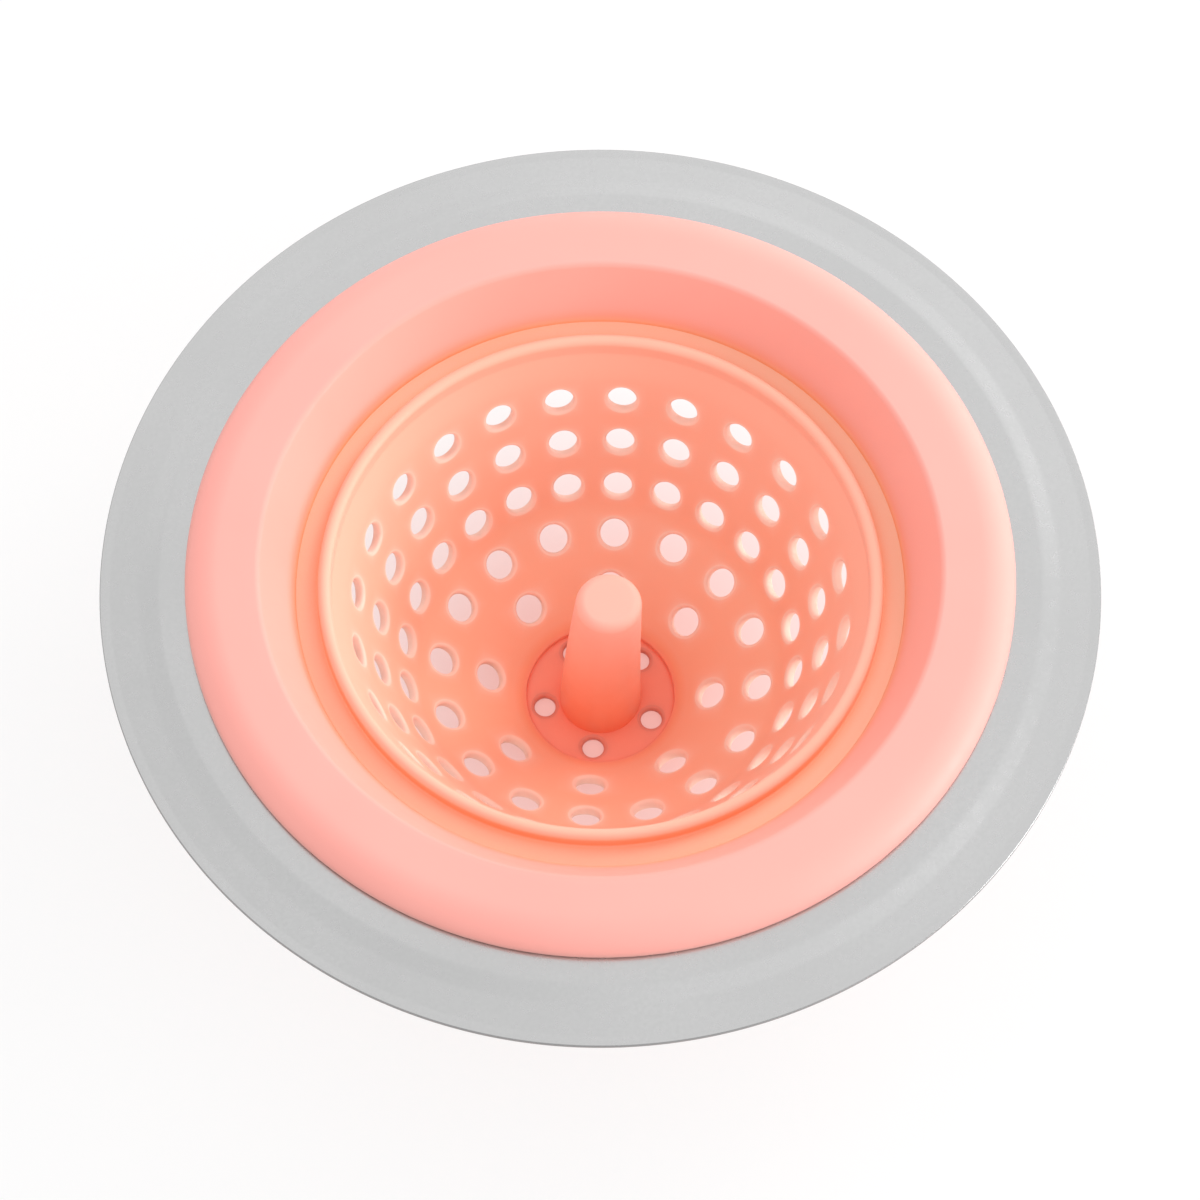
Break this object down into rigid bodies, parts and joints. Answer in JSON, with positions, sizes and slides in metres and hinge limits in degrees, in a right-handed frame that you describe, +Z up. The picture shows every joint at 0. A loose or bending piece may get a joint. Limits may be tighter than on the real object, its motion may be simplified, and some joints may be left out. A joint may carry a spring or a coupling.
{
  "type": "sink strainer",
  "caption": "Drop-in kitchen sink strainer: flexible perforated bowl with a pull knob, hung by a fold-through web in a wide pressed steel rim.",
  "frame": {"origin": "middle of the flat underside of the bowl's floor, which the part stands on", "axes": "+Z up along the axis of the bowl, knob and rim; +X to the right and +Y away from the viewer of the picture"},
  "size_m": [0.114, 0.114, 0.0367],
  "materials": {
    "rim_steel": "satin, turned grain",
    "silicone": "soft matt moulded silicone"
  },
  "bodies": {
    "rim": {"steel_rim": "rim_steel", "basket_flange": "silicone", "fold_web": "silicone"},
    "bowl": {"mouth_bead": "silicone", "strainer_bowl": "silicone", "bowl_floor": "silicone", "pull_knob": "silicone"}
  },
  "joints": [
    {"name": "bowl_pop", "type": "slide", "parent": "rim", "child": "bowl", "axis": [0, 0, 1], "range_m": [0, 0.0098], "deforming": ["fold_web"]}
  ]
}
